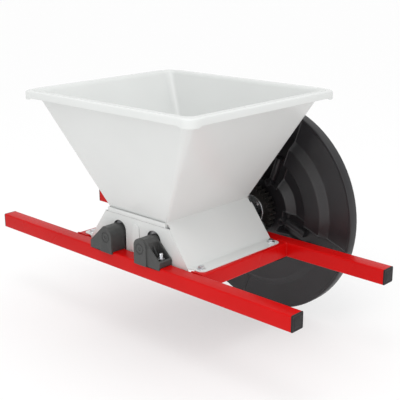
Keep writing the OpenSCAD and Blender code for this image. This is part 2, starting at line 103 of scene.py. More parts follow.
def make_studio():
    world = bpy.data.worlds.new("studio")
    world.use_nodes = True
    nodes, link = world.node_tree.nodes, world.node_tree.links.new
    back = nodes["Background"]
    back.inputs["Color"].default_value = (1.0, 1.0, 1.0, 1.0)
    split = nodes.new("ShaderNodeSeparateXYZ")
    link(nodes.new("ShaderNodeTexCoord").outputs["Generated"], split.inputs[0])
    total = None
    # brighter on the right, behind, overhead and round the horizon
    fades = (("X", -1.0, 1.0, 0.06, 0.18), ("Y", -1.0, 1.0, 0.02, 0.12),
             ("Z", 0.0, 1.0, 0.0, 1.25), ("Z", 0.0, 0.4, 0.8, 0.0))
    for side, start, end, low, high in fades:
        fade, added = nodes.new("ShaderNodeMapRange"), nodes.new("ShaderNodeMath")
        for name, value in (("From Min", start), ("From Max", end), ("To Min", low), ("To Max", high)):
            fade.inputs[name].default_value = value
        link(split.outputs[side], fade.inputs["Value"])
        link(fade.outputs["Result"], added.inputs[0])
        added.inputs[1].default_value = 0.0
        if total is not None:
            link(total, added.inputs[1])
        total = added.outputs[0]
    link(total, back.inputs["Strength"])
    scene.world = world
    scene.view_settings.view_transform = "Standard"
    softbox("key", (0.7, -1.05, 2.35), (0, 0, 0.15), (1.0, 1.0), 13)
    softbox("strip", (0.96, -1.92, 0.60), (0.15, 0.15, 0.1), (1.2, 0.36), 3, 50)
    softbox("low", (0.68, -0.86, -0.08), (0.2, 0.19, 0.09), (0.5, 0.25), 0.8)
    floor_z = cad_box[0].z - 0.002
    mesh = bpy.data.meshes.new("floor")
    bm = bmesh.new()
    bmesh.ops.create_circle(bm, cap_ends=True, segments=96, radius=45.0)
    bm.to_mesh(mesh)
    bm.free()
    floor = bpy.data.objects.new("floor", mesh)
    floor.location.z = floor_z
    scene.collection.objects.link(floor)
    paper = bpy.data.materials.new("floor_paper")
    paper.use_nodes = True
    shader = paper.node_tree.nodes["Principled BSDF"]
    shader.inputs["Base Color"].default_value = (0.45, 0.45, 0.45, 1)
    shader.inputs["Roughness"].default_value = 0.9
    shader.inputs["Specular IOR Level"].default_value = 0.1
    shader.inputs["Emission Color"].default_value = (1, 1, 1, 1)
    shader.inputs["Emission Strength"].default_value = 0.49
    mesh.materials.append(paper)


# ---- materials ----

class Finish:
    """A procedural material: one shader whose colour, roughness and relief come from layered noise."""

    def __init__(self, name, metallic=0.0, specular=0.5, coat=0.0, coat_roughness=0.1):
        self.material = bpy.data.materials.new(name)
        self.material.use_nodes = True
        self.tree = self.material.node_tree
        self.shader = self.tree.nodes["Principled BSDF"]
        self.shader.inputs["Metallic"].default_value = metallic
        self.shader.inputs["Specular IOR Level"].default_value = specular
        self.shader.inputs["Coat Weight"].default_value = coat
        self.shader.inputs["Coat Roughness"].default_value = coat_roughness
        self.place = self.add("ShaderNodeTexCoord").outputs["Object"]
        self.bump = None

    def add(self, kind, **settings):
        node = self.tree.nodes.new(kind)
        for key, value in settings.items():
            setattr(node, key, value)
        return node

    def join(self, out, into):
        self.tree.links.new(out, into)

    def noise(self, scale, detail=3.0, roughness=0.5, stretch=(1, 1, 1)):
        """Noise with so many features a metre, drawn out by a stretch along each axis."""
        mapping = self.add("ShaderNodeMapping")
        mapping.inputs["Scale"].default_value = stretch
        self.join(self.place, mapping.inputs["Vector"])
        node = self.add("ShaderNodeTexNoise")
        node.inputs["Scale"].default_value = scale
        node.inputs["Detail"].default_value = detail
        node.inputs["Roughness"].default_value = roughness
        self.join(mapping.outputs["Vector"], node.inputs["Vector"])
        return node.outputs["Fac"]

    def spread(self, value, low, high, start=0.3, end=0.7):
        """A value spread between low and high."""
        node = self.add("ShaderNodeMapRange")
        node.inputs["From Min"].default_value = start
        node.inputs["From Max"].default_value = end
        node.inputs["To Min"].default_value = low
        node.inputs["To Max"].default_value = high
        self.join(value, node.inputs["Value"])
        return node.outputs["Result"]

    def times(self, a, b):
        node = self.add("ShaderNodeMath", operation="MULTIPLY")
        self.join(a, node.inputs[0])
        self.join(b, node.inputs[1])
        return node.outputs[0]

    def colours(self, value, stops):
        """A colour ramp over a value, from (position, colour) stops."""
        node = self.add("ShaderNodeValToRGB")
        ramp = node.color_ramp
        while len(ramp.elements) < len(stops):
            ramp.elements.new(0.5)
        for element, (at, colour) in zip(ramp.elements, stops):
            element.position = at
            element.color = (*colour, 1)
        self.join(value, node.inputs["Fac"])
        return node.outputs["Color"]

    def mixed(self, factor, first, second):
        """The first colour output with a plain second colour laid over it."""
        node = self.add("ShaderNodeMix", data_type="RGBA")
        self.join(factor, node.inputs["Factor"])
        self.join(first, node.inputs[6])
        node.inputs[7].default_value = (*second, 1)
        return node.outputs[2]

    def relief(self, height, distance, strength=1.0):
        """Adds a bump layer whose height is in metres."""
        node = self.add("ShaderNodeBump")
        node.inputs["Strength"].default_value = strength
        node.inputs["Distance"].default_value = distance
        self.join(height, node.inputs["Height"])
        if self.bump is not None:
            self.join(self.bump, node.inputs["Normal"])
        self.bump = node.outputs["Normal"]

    def facing_up(self):
        """1 on surfaces that face up, where dust settles."""
        geometry = self.add("ShaderNodeNewGeometry")
        split = self.add("ShaderNodeSeparateXYZ")
        self.join(geometry.outputs["Normal"], split.inputs[0])
        return self.spread(split.outputs["Z"], 0.0, 1.0, 0.6, 1.0)

    def done(self, colour, roughness):
        self.join(colour, self.shader.inputs["Base Color"])
        self.join(roughness, self.shader.inputs["Roughness"])
        if self.bump is not None:
            self.join(self.bump, self.shader.inputs["Normal"])
            self.join(self.bump, self.shader.inputs["Coat Normal"])
        return self.material


def gloss_paint(name, dark, mid, light, peel, roughness, specular):
    """Sprayed gloss paint: slow drifts of shade and a faint orange peel."""
    f = Finish(name, specular=specular, coat=0.05, coat_roughness=0.1)
    drift = f.noise(7, 2)
    colour = f.colours(drift, [(0.25, dark), (0.5, mid), (0.78, light)])
    rough = f.spread(f.noise(5, 1), roughness, roughness + 0.04)
    f.relief(f.noise(peel, 2), 0.0001, 0.1)
    return f.done(colour, rough)


def moulded(name, dark, mid, light, grain, depth, roughness, specular=0.4):
    """Moulded plastic: eroded grain, flow marks and settled dust."""
    f = Finish(name, specular=specular)
    colour = f.colours(f.noise(14, 4), [(0.3, dark), (0.52, mid), (0.8, light)])
    settled = f.times(f.facing_up(), f.spread(f.noise(90, 4), 0.0, 0.12))
    colour = f.mixed(settled, colour, (0.32, 0.31, 0.30))
    rough = f.spread(f.noise(180, 3), roughness, roughness + 0.16)
    f.relief(f.noise(grain, 2), depth, 0.5)
    f.relief(f.noise(38, 2), 0.002, 0.05)
    return f.done(colour, rough)


def plated(name, dark, mid, light, roughness, stretch=(1, 1, 1)):
    """Zinc plate or drawn steel: cloudy shade and fine brush lines."""
    f = Finish(name, metallic=1.0)
    colour = f.colours(f.noise(70, 4), [(0.3, dark), (0.5, mid), (0.75, light)])
    rough = f.spread(f.noise(420, 3, stretch=stretch), roughness, roughness + 0.2)
    f.relief(f.noise(1500, 3, stretch=stretch), 0.00012, 0.35)
    return f.done(colour, rough)


def cast(name, dark, mid, light, metallic, roughness, grain, depth):
    """Cast metal: sandy skin, pits and darker hollows."""
    f = Finish(name, metallic=metallic)
    colour = f.colours(f.noise(45, 5, 0.6), [(0.3, dark), (0.52, mid), (0.78, light)])
    pits = f.spread(f.noise(650, 2), 0.0, 0.4, 0.62, 0.75)
    colour = f.mixed(pits, colour, tuple(c * 0.6 for c in dark))
    rough = f.spread(f.noise(220, 3), roughness, roughness + 0.2)
    f.relief(f.noise(grain, 3, 0.6), depth, 0.5)
    return f.done(colour, rough)


MATERIALS = {
    "frame_paint": gloss_paint("red_gloss_paint", (0.50, 0.002, 0.002), (0.54, 0.003, 0.003),
                               (0.58, 0.004, 0.004), 700, 0.26, 0.1),
    "hopper_enamel": gloss_paint("white_enamel", (0.680, 0.694, 0.684), (0.695, 0.709, 0.699),
                                 (0.710, 0.724, 0.714), 520, 0.22, 0.3),
    "cap_plastic": moulded("cap_plastic", (0.010, 0.009, 0.010), (0.015, 0.013, 0.014),
                           (0.022, 0.020, 0.021), 2600, 0.0001, 0.42, 0.22),
    "block_plastic": moulded("block_nylon", (0.035, 0.036, 0.036), (0.050, 0.051, 0.050),
                             (0.070, 0.070, 0.069), 1900, 0.00016, 0.38),
    "wheel_plastic": moulded("wheel_plastic", (0.011, 0.010, 0.011), (0.014, 0.013, 0.015),
                             (0.018, 0.017, 0.019), 1500, 0.00008, 0.30, 0.5),
    "grip_plastic": moulded("grip_plastic", (0.010, 0.010, 0.011), (0.014, 0.014, 0.015),
                            (0.022, 0.022, 0.023), 3200, 0.00005, 0.20),
    "zinc_plate": plated("zinc_plate", (0.58, 0.60, 0.63), (0.70, 0.71, 0.73),
                         (0.82, 0.82, 0.80), 0.20),
    "bright_steel": plated("drawn_steel", (0.42, 0.42, 0.43), (0.52, 0.52, 0.52),
                           (0.62, 0.62, 0.61), 0.24, (1, 0.04, 1)),
    "cast_aluminium": cast("cast_aluminium", (0.28, 0.28, 0.29), (0.38, 0.38, 0.39),
                           (0.48, 0.48, 0.48), 0.9, 0.36, 900, 0.0003),
    "gear_iron": cast("oiled_iron", (0.030, 0.028, 0.026), (0.055, 0.051, 0.047),
                      (0.100, 0.094, 0.088), 0.7, 0.34, 1100, 0.0002),
}

# ---- mesh making, in millimetres ----


def ease(t):
    t = min(1.0, max(0.0, t))
    return t * t * (3 - 2 * t)


def blend(a, b, t):
    return a + (b - a) * t


def along(points, x):
    """Height at x of a line through (x, height) points in rising order of x."""
    if x <= points[0][0]:
        return points[0][1]
    for (x0, y0), (x1, y1) in zip(points, points[1:]):
        if x <= x1:
            return y0 + (y1 - y0) * (x - x0) / max(1e-9, x1 - x0)
    return points[-1][1]


def filleted(points, radius, steps=4):
    """A line through points with its corners rounded."""
    out = [points[0]]
    for a, b, c in zip(points, points[1:], points[2:]):
        a, b, c = Vector(a), Vector(b), Vector(c)
        cut = min(radius, (a - b).length * 0.45, (c - b).length * 0.45)
        p, q = b + (a - b).normalized() * cut, b + (c - b).normalized() * cut
        for i in range(steps + 1):
            t = i / steps
            out.append(tuple(p * (1 - t) ** 2 + b * 2 * t * (1 - t) + q * t ** 2))
    out.append(points[-1])
    return out


def lofted(rings, closed):
    """Faces between rings of the same count; closed joins the last ring to the first."""
    n = len(rings[0])
    verts = [v for ring in rings for v in ring]
    faces = []
    last = len(rings) if closed else len(rings) - 1
    for i in range(last):
        a, b = i * n, (i + 1) % len(rings) * n
        for j in range(n):
            k = (j + 1) % n
            faces.append((a + j, a + k, b + k, b + j))
    return verts, faces


def lathe(profile, turns=48, at=(0, 0, 0), axis="Z"):
    """Turns (radius, height) points round an axis through a point; zero radii become poles."""
    verts, faces, rows = [], [], []
    for r, h in profile:
        if r < 1e-6:
            rows.append([len(verts)])
            verts.append((0, 0, h))
        else:
            rows.append([len(verts) + j for j in range(turns)])
            verts += [(r * math.cos(2 * math.pi * j / turns), r * math.sin(2 * math.pi * j / turns), h)
                      for j in range(turns)]
    for a, b in zip(rows, rows[1:]):
        for j in range(turns):
            k = (j + 1) % turns
            if len(a) == 1 and len(b) > 1:
                faces.append((a[0], b[k], b[j]))
            elif len(b) == 1 and len(a) > 1:
                faces.append((a[j], a[k], b[0]))
            elif len(a) > 1:
                faces.append((a[j], a[k], b[k], b[j]))
    return [laid(v, axis, at) for v in verts], faces


def laid(v, axis, at):
    """A point built up Z, laid along an axis from a place."""
    x, y, z = v
    if axis == "Y":
        x, y, z = x, z, -y
    elif axis == "-Y":
        x, y, z = x, -z, y
    elif axis == "-Z":
        x, y, z = x, -y, -z
    return (x + at[0], y + at[1], z + at[2])


def hexagon(corner, height, hole=0.0, at=(0, 0, 0), axis="Z", turn=0.0):
    """A hexagon head or nut with chamfered corners, and a chamfered hole if it has one."""
    flat = corner * math.cos(math.pi / 6)
    rows = []
    for level in ("low", "low_side", "high_side", "high"):
        row = []
        for j in range(48):
            t = 2 * math.pi * j / 48
            off = (t + math.pi / 6) % (math.pi / 3) - math.pi / 6
            far = flat / math.cos(off)
            drop = (far - flat * 0.96) * 0.58
            r = far if "side" in level else flat * 0.96
            h = {"low": 0.0, "low_side": drop, "high_side": height - drop, "high": height}[level]
            row.append((r * math.cos(t + turn), r * math.sin(t + turn), h))
        rows.append(row)
    circle = [(math.cos(2 * math.pi * j / 48 + turn), math.sin(2 * math.pi * j / 48 + turn))
              for j in range(48)]
    if hole:
        inner = [(hole, 0.6), (hole, height - 0.6), (hole + 0.6, height)]
        rows = [[(c * (hole + 0.6), s * (hole + 0.6), 0.0) for c, s in circle]] + rows
        rows += [[(c * r, s * r, h) for c, s in circle] for r, h in reversed(inner)]
        verts, faces = lofted(rows, True)
    else:
        rows.append([(c * flat * 0.55, s * flat * 0.55, height) for c, s in circle])
        verts, faces = lofted(rows, False)
        faces.append(tuple(reversed(range(48))))
        faces.append(tuple(range(48 * 4, 48 * 5)))
    return [laid(v, axis, at) for v in verts], faces


def threaded(radius, pitch, start, end, at=(0, 0, 0), axis="Z", turns=32):
    """A screw's shank from zero: plain up to the start, then a helical thread to a chamfered tip."""
    dots = [(0.02 * math.cos(2 * math.pi * j / turns), 0.02 * math.sin(2 * math.pi * j / turns))
            for j in range(turns)]
    rows = [[(x, y, 0.0) for x, y in dots]]
    levels = [0.0, start]
    steps = max(8, int((end - start) / pitch * 6))
    levels += [start + (end - start) * i / steps for i in range(1, steps + 1)]
    for h in levels:
        row = []
        for j in range(turns):
            t = j / turns
            phase = (h / pitch - t) % 1.0
            cut = (1 - abs(2 * phase - 1)) * 0.55 * pitch if h > start else 0.0
            tip = max(0.0, h - (end - pitch))
            r = min(radius - cut, radius - tip * 0.8) if h > start else radius
            row.append((r * math.cos(2 * math.pi * t), r * math.sin(2 * math.pi * t), h))
        rows.append(row)
    rows.append([(x, y, end) for x, y in dots])
    verts, faces = lofted(rows, False)
    return [laid(v, axis, at) for v in verts], faces


def washer(radius, hole, height, at, axis="Z"):
    """A stamped washer: rolled upper edge, sharp lower edge."""
    return lathe([(hole + 0.2, 0), (radius - 0.1, 0), (radius, 0.15), (radius, height - 0.5),
                  (radius - 0.15, height - 0.2), (radius - 0.5, height), (hole + 0.4, height),
                  (hole, height - 0.3), (hole, 0.2), (hole + 0.2, 0)], 48, at, axis)


def together(*shapes):
    verts, faces = [], []
    for v, f in shapes:
        faces += [tuple(i + len(verts) for i in face) for face in f]
        verts += v
    return verts, faces


def raw(name, shape):
    """A mesh from (verts, faces) in millimetres, its faces turned outwards."""
    mesh = bpy.data.meshes.new(name)
    mesh.from_pydata([tuple(c * MM for c in v) for v in shape[0]], [], shape[1])
    bm = bmesh.new()
    bm.from_mesh(mesh)
    bmesh.ops.recalc_face_normals(bm, faces=bm.faces)
    bm.to_mesh(mesh)
    bm.free()
    return mesh


def piece(name, shape, body, slot, replaces=(), sharp=32, bevel=0.0, segments=2):
    """Makes a named object from (verts, faces) in millimetres and hangs it on its body."""
    dressed(name, raw(name, shape), body, slot, replaces, sharp, bevel, segments)


def dressed(name, mesh, body, slot, replaces, sharp, bevel, segments):
    """Makes an object of a mesh: smooth shading, material, bevelled edges, body and slot."""
    bm = bmesh.new()
    bm.from_mesh(mesh)
    bmesh.ops.remove_doubles(bm, verts=bm.verts, dist=2e-6)
    bmesh.ops.recalc_face_normals(bm, faces=bm.faces)
    bm.to_mesh(mesh)
    bm.free()
    mesh.polygons.foreach_set("use_smooth", [True] * len(mesh.polygons))
    mesh.set_sharp_from_angle(angle=math.radians(sharp))
    mesh.materials.clear()
    mesh.materials.append(MATERIALS[slot])
    obj = bpy.data.objects.new(name, mesh)
    scene.collection.objects.link(obj)
    if bevel:
        mod = obj.modifiers.new("edges", "BEVEL")
        mod.width = bevel * MM
        mod.segments = segments
        mod.limit_method = "ANGLE"
        mod.angle_limit = math.radians(34)
        mod.use_clamp_overlap = False
        mod.harden_normals = True
    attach(obj, body)
    if replaces:
        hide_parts(*replaces)


def reworked(node, bevel=0.5, segments=2, sharp=32, cutters=()):
    """A CAD node's shape with its flats joined, cut where asked, and its edges broken."""
    mesh = frame["nodes"][node].data.copy()
    mesh.name = node + "_detail"
    bm = bmesh.new()
    bm.from_mesh(mesh)
    bmesh.ops.remove_doubles(bm, verts=bm.verts, dist=1e-6)
    bmesh.ops.dissolve_limit(bm, angle_limit=math.radians(0.4), verts=bm.verts, edges=bm.edges)
    bm.to_mesh(mesh)
    bm.free()
    for cutter in cutters:
        mesh = carved(mesh, cutter)
    dressed(node + "_detail", mesh, BODY_OF[node], SLOT_OF[node], [node], sharp, bevel, segments)


def carved(mesh, shape):
    """The mesh less a closed (verts, faces) shape."""
    tool = bpy.data.objects.new("cutter", raw("cutter", shape))
    work = bpy.data.objects.new("work", mesh)
    scene.collection.objects.link(tool)
    scene.collection.objects.link(work)
    mod = work.modifiers.new("cut", "BOOLEAN")
    mod.operation, mod.object, mod.solver = "DIFFERENCE", tool, "EXACT"
    bpy.context.view_layer.update()
    result = bpy.data.meshes.new_from_object(work.evaluated_get(bpy.context.evaluated_depsgraph_get()))
    bpy.data.objects.remove(work)
    bpy.data.objects.remove(tool)
    return result


# ---- hopper ----

RAIL_Y, TUBE_HALF, CROSSBAR_X = 135.0, 15.0, 163.0
AXLE_X, AXLE_Z = 48.5, 61.0
SCREW_X, SCREW_Y, BLOCK_BOLT_X = 153.5, 99.5, 86.0
RIM_X, RIM_Y, RIM_Z, RIM_R = 228.0, 200.0, 330.0, 20.0
MOUTH_X, MOUTH_Y, MOUTH_R = 214.0, 186.0, 18.0
WAIST_X, WAIST_Y, WAIST_Z, WAIST_R = 81.0, 114.0, 106.0, 3.0
PLATE_Y, SKIRT_X, FLANGE_X, FLANGE_Y = 117.5, 137.5, 169.5, 112.5
FLANGE_TOP, SHEET = 31.2, 1.15


def box_ring(hx, hy, r, z, droop=0.0):
    """A rounded rectangle's points at height z, hanging lower by droop towards the corners."""
    points = []
    stops = [0.0, 0.012, 0.024, 0.05, 0.13, 0.3, 0.5, 0.7, 0.87, 0.95, 0.976, 0.988]
    corners = [(1, 1, 0), (-1, 1, 90), (-1, -1, 180), (1, -1, 270)]
    for i, (sx, sy, start) in enumerate(corners):
        for j in range(9):
            a = math.radians(start + 90 * j / 8)
            points.append((sx * (hx - r) + r * math.cos(a), sy * (hy - r) + r * math.sin(a)))
        nx, ny, _ = corners[(i + 1) % 4]
        end_a = math.radians(start + 90)
        p = (sx * (hx - r) + r * math.cos(end_a), sy * (hy - r) + r * math.sin(end_a))
        q = (nx * (hx - r) + r * math.cos(end_a), ny * (hy - r) + r * math.sin(end_a))
        points += [(blend(p[0], q[0], t), blend(p[1], q[1], t)) for t in stops[1:]]
    ring = []
    for x, y in points:
        from_corner = math.hypot(hx - abs(x), hy - abs(y))
        ring.append((x, y, z - droop * 0.6 * ease((31 - from_corner) / 10)))
    return ring


def make_hopper():
    def rim(off, z, droop):
        return box_ring(RIM_X - off, RIM_Y - off, max(4.0, RIM_R - off * 0.5), z, droop)

    def wall(t, inset):
        """A ring of the funnel's wall, from the mouth (0) to the waist (1)."""
        return box_ring(blend(MOUTH_X, WAIST_X, t) - inset, blend(MOUTH_Y, WAIST_Y, t) - inset,
                        max(1.6, blend(MOUTH_R, WAIST_R, t) - inset * 0.8),
                        blend(RIM_Z - 1.2, WAIST_Z, t))

    rings = [rim(1.2, 315.4, 5.2), rim(0.7, 315.0, 5.2), rim(0.15, 315.2, 5.2), rim(0, 316.0, 4.6),
             rim(0.0, 321.0, 3.2), rim(0, 325.6, 2.2), rim(0.35, 327.4, 2.0), rim(1.2, 328.5, 1.8),
             rim(2.8, 329.0, 1.4), rim(5.5, 329.0, 1.0), rim(9.0, 328.9, 0.3), rim(10.6, 328.7, 0.0),
             rim(11.0, 328.5, 0.0), rim(11.3, 329.4, 0.0), rim(11.8, 329.9, 0.0), rim(12.6, 330.0, 0.0),
             rim(13.6, 329.4, 0.0), rim(14.4, 328.0, 0.0)]
    stations = [0.012, 0.03, 0.1, 0.25, 0.4, 0.55, 0.7, 0.85, 0.95, 0.99]
    rings += [wall(t, 1.5) for t in stations]
    collar = [(-1.5, 1.6, 104.6), (-1.3, 1.7, 102.5), (-1.2, 1.8, 96.3), (-0.2, 2.8, 96.0),
              (-0.1, 2.9, 97.5), (-0.1, 2.9, 104.6), (0.05, 3.0, 105.7)]
    rings += [box_ring(WAIST_X + off, WAIST_Y + off, r, z) for off, r, z in collar]
    rings += [wall(t, 0.0) for t in reversed(stations)]
    rings += [rim(13.6, 327.4, 0), rim(9.0, 327.6, 0.3), rim(5.5, 327.8, 1.0), rim(2.8, 327.8, 1.4),
              rim(1.5, 327.0, 1.8), rim(1.2, 325.0, 2.2), rim(1.2, 321.0, 3.2)]
    piece("hopper_shell", lofted(rings, True), "frame", "hopper_enamel", ["funnel"], sharp=50)


def rib(x, z):
    """How far (x, z) is outside the upright rib between two blocks, which has a round top."""
    return abs(x) - 10 if z < 78 else math.hypot(x, z - 78) - 10


def band(x, z):
    """How far (x, z) is outside the folded band along a plate's top edge."""
    return max(abs(x) - 77.5 + (z - 101) * 0.7, abs(z - 101) - 3.6)


def pressed(name, side, shape, high, soft, xs, zs):
    """A soft-edged raised shape on a plate, over a grid of x and z."""
    verts, faces = [], []
    for z in zs:
        for x in xs:
            rise = high * ease((soft / 3 - shape(x, z)) / soft)
            verts.append((x, side * (PLATE_Y + rise + (0.04 if rise > 0 else -0.3)), z))
    n = len(xs)
    for i in range(len(zs) - 1):
        for j in range(n - 1):
            a = i * n + j
            faces.append((a, a + 1, a + n + 1, a + n))
    piece(name, (verts, faces), "frame", "hopper_enamel", sharp=60)


def slit(end, y):
    """The open slit at a waist corner, where a plate and a skirt part."""
    outline = [(79.6, 105), (81.2, 105), (87.6, 96.4), (86.0, 96.4)]
    rings = [[(end * x, y + off, z) for x, z in outline] for off in (-4, 4)]
    verts, faces = lofted(rings, False)
    return verts, faces + [(0, 1, 2, 3), (7, 6, 5, 4)]


def make_skirt(side, node):
    """A skirt: sloping sheet, soft bend, flange with rounded corners."""
    lean = math.atan2(WAIST_Z - FLANGE_TOP, SKIRT_X - WAIST_X)
    bend, steps = 5.0, 8
    meet = bend * math.tan(lean / 2)
    line = [(WAIST_X + 0.05, WAIST_Z - 0.1)]
    down = (math.cos(lean), -math.sin(lean))
    for t in (0.14, 0.145, 0.5, 0.8):
        line.append((blend(WAIST_X, SKIRT_X, t), blend(WAIST_Z, FLANGE_TOP, t)))
    for i in range(steps + 1):
        a = lean * (1 - i / steps)
        line.append((SKIRT_X - meet * down[0] + bend * (math.sin(lean) - math.sin(a)),
                     FLANGE_TOP + meet * -down[1] + bend * (math.cos(lean) - math.cos(a))))
    flat_from = line[-1][0]
    for x in (146, 152, 157.5, 159.5, 162, 164.5, 166.5, 168, 169, 169.5):
        if x > flat_from:
            line.append((x, FLANGE_TOP))

    def half_width(x):
        if x > FLANGE_X - 12:
            return FLANGE_Y - 12 + math.sqrt(max(0.0, 144 - (x - FLANGE_X + 12) ** 2))
        if x < WAIST_X + 8:
            return PLATE_Y - 5
        return blend(PLATE_Y - 1.3, FLANGE_Y, ease((x - SKIRT_X - 3) / 4))

    across = [-1, -0.985, -0.9, -0.6, -0.3, 0, 0.3, 0.6, 0.9, 0.985, 1]
    top = [[(side * x, half_width(x) * u, z) for u in across] for x, z in line]
    low = []
    for i, (x, z) in enumerate(line):
        (xa, za), (xb, zb) = line[max(0, i - 1)], line[min(len(line) - 1, i + 1)]
        n = Vector((-(zb - za), xb - xa)).normalized()
        low.append([(side * (x - n.x * SHEET), half_width(x) * u, z - n.y * SHEET) for u in across])
    verts, faces = [v for row in top + low for v in row], []
    rows, n = len(line), len(across)
    base = rows * n
    for i in range(rows - 1):
        for j in range(n - 1):
            a = i * n + j
            faces.append((a, a + 1, a + n + 1, a + n))
            faces.append((base + a, base + a + n, base + a + n + 1, base + a + 1))
    edge = [(0, j) for j in range(n)] + [(i, n - 1) for i in range(1, rows)]
    edge += [(rows - 1, j) for j in range(n - 2, -1, -1)] + [(i, 0) for i in range(rows - 2, 0, -1)]
    loop = [i * n + j for i, j in edge]
    for a, b in zip(loop, loop[1:] + loop[:1]):
        faces.append((a, b, base + b, base + a))
    piece(node + "_sheet", (verts, faces), "frame", "hopper_enamel", [node], sharp=40)


# ---- frame ----


def weld(name, side_x, side_y):
    """A rippled weld bead round a crossbar's end, over its top and down its two sides."""
    x0, half, y0 = side_x * CROSSBAR_X, TUBE_HALF, side_y * (RAIL_Y - TUBE_HALF - 0.6)
    path = [(-half - 0.2, 2.0), (-half - 0.2, 26.0)]
    path += [(-half + 2.5 - 2.7 * math.cos(a), 27.5 + 2.7 * math.sin(a)) for a in (0.4, 0.8, 1.2)]
    path += [(-half + 3, 30.2), (half - 3, 30.2)]
    path += [(half - 2.5 + 2.7 * math.cos(a), 27.5 + 2.7 * math.sin(a)) for a in (1.2, 0.8, 0.4)]
    path += [(half + 0.2, 26.0), (half + 0.2, 2.0)]
    fine, length = [], 0.0
    for (xa, za), (xb, zb) in zip(path, path[1:]):
        span = math.hypot(xb - xa, zb - za)
        count = max(1, int(span / 0.7))
        fine += [(blend(xa, xb, i / count), blend(za, zb, i / count), length + span * i / count)
                 for i in range(count)]
        length += span
    rings = []
    for i, (x, z, s) in enumerate(fine):
        xa, za, _ = fine[max(0, i - 1)]
        xb, zb, _ = fine[min(len(fine) - 1, i + 1)]
        out = Vector((-(zb - za), xb - xa)).normalized()
        if out.x * x < 0 and abs(x) > 14:
            out = -out
        if abs(x) <= 14 and out.y < 0:
            out = -out
        swell = 1.55 + 0.28 * math.sin(s * 2.4) + 0.16 * math.sin(s * 0.9 + side_x + 2 * side_y)
        swell *= 0.25 + 0.75 * min(1.0, s / 3.0, (length - s) / 3.0)
        rings.append([(x0 + x + out.x * swell * math.cos(a) * 0.8, y0 + side_y * swell * math.sin(a) * 0.9,
                       z + out.y * swell * math.cos(a) * 0.8)
                      for a in (2 * math.pi * k / 10 for k in range(10))])
    verts, faces = lofted(rings, False)
    faces += [tuple(range(10)), tuple(range(len(verts) - 10, len(verts)))]
    piece(name, (verts, faces), "frame", "frame_paint", sharp=70)


def make_cap(node, side_x, side_y):
    """A moulded tube cap: pillowed face with a rolled edge, and its plain plug."""
    def ring(h, r, x):
        return [(side_x * x, side_y * RAIL_Y + u, TUBE_HALF + w) for u, w in square_ring(h, max(0.6, r))]

    rings = [ring(13, 1.5, 385), ring(13, 1.5, 397.5), ring(14.6, 2.2, 397.52), ring(14.95, 2.4, 397.9),
             ring(15, 2.5, 398.6), ring(14.9, 2.5, 399.3), ring(14.4, 2.3, 399.8), ring(13.6, 2.2, 400.0),
             ring(12.2, 2.0, 399.85), ring(11.4, 1.9, 399.55), ring(10.6, 1.8, 399.55),
             ring(9.8, 1.7, 399.75), ring(5, 1.2, 399.95), ring(0.7, 0.3, 400.0)]
    verts, faces = lofted(rings, False)
    n = len(rings[0])
    faces += [tuple(range(n)), tuple(range(len(verts) - n, len(verts)))]
    piece(node + "_moulding", (verts, faces), "frame", "cap_plastic", [node], sharp=50)


def square_ring(h, r):
    points = []
    for sx, sy, start in ((1, 1, 0), (-1, 1, 90), (-1, -1, 180), (1, -1, 270)):
        for j in range(7):
            a = math.radians(start + 90 * j / 6)
            points.append((sx * (h - r) + r * math.cos(a), sy * (h - r) + r * math.sin(a)))
    return points


def make_tube(node, axis, holes):
    """A square tube with rolled corners along an axis, with (x, y, radius) holes through its top wall."""
    corners = [v.co / MM for v in frame["nodes"][node].data.vertices]
    low, high = ([f(c[i] for c in corners) for i in range(3)] for f in (min, max))
    rings = []
    for half, r, ends in ((15, 3.0, (low, high)), (13, 1.2, (high, low))):
        for end in ends:
            ring = []
            for u, w in square_ring(half, r):
                point = [(low[i] + high[i]) / 2 for i in range(3)]
                point[axis] = end[axis]
                point[1 - axis] += u
                point[2] += w
                ring.append(tuple(point))
            rings.append(ring)
    mesh = raw(node, lofted(rings, True))
    for x, y, r in holes:
        mesh = carved(mesh, lathe([(0, 26), (r, 26), (r, 31), (0, 31)], 32, (x, y, 0)))
    dressed(node + "_tube", mesh, "frame", "frame_paint", [node], 50, 0.3, 2)


def make_frame():
    for node, side in (("front_rail", -1), ("rear_rail", 1)):
        make_tube(node, 0, [(x, side * RAIL_Y, 4.4) for x in (-BLOCK_BOLT_X, BLOCK_BOLT_X)])
    for node, side in (("left_crossbar", -1), ("right_crossbar", 1)):
        make_tube(node, 1, [(side * SCREW_X, y, 3.3) for y in (-SCREW_Y, SCREW_Y)])
    ends = (("front_left", -1, -1), ("front_right", 1, -1), ("rear_left", -1, 1), ("rear_right", 1, 1))
    for name, sx, sy in ends:
        make_cap(name + "_cap", sx, sy)
        weld(name + "_weld", sx, sy)
    for node, side in (("front_plate", -1), ("rear_plate", 1)):
        slits = [slit(end, side * (PLATE_Y - 2)) for end in (-1, 1)]
        reworked(node, bevel=0.4, cutters=slits)
    rib_xs, rib_zs = [x - 15 for x in range(31)], [26 + i * 1.5 for i in range(44)]
    band_xs, band_zs = [x * 1.5 - 81 for x in range(109)], [96.4 + i * 0.6 for i in range(16)]
    for name, side in (("front_plate", -1), ("rear_plate", 1)):
        pressed(name + "_rib", side, rib, 2.6, 2.6, rib_xs, rib_zs)
        pressed(name + "_band", side, band, 0.3, 4.0, band_xs, band_zs)
    make_skirt(-1, "left_skirt")
    make_skirt(1, "right_skirt")


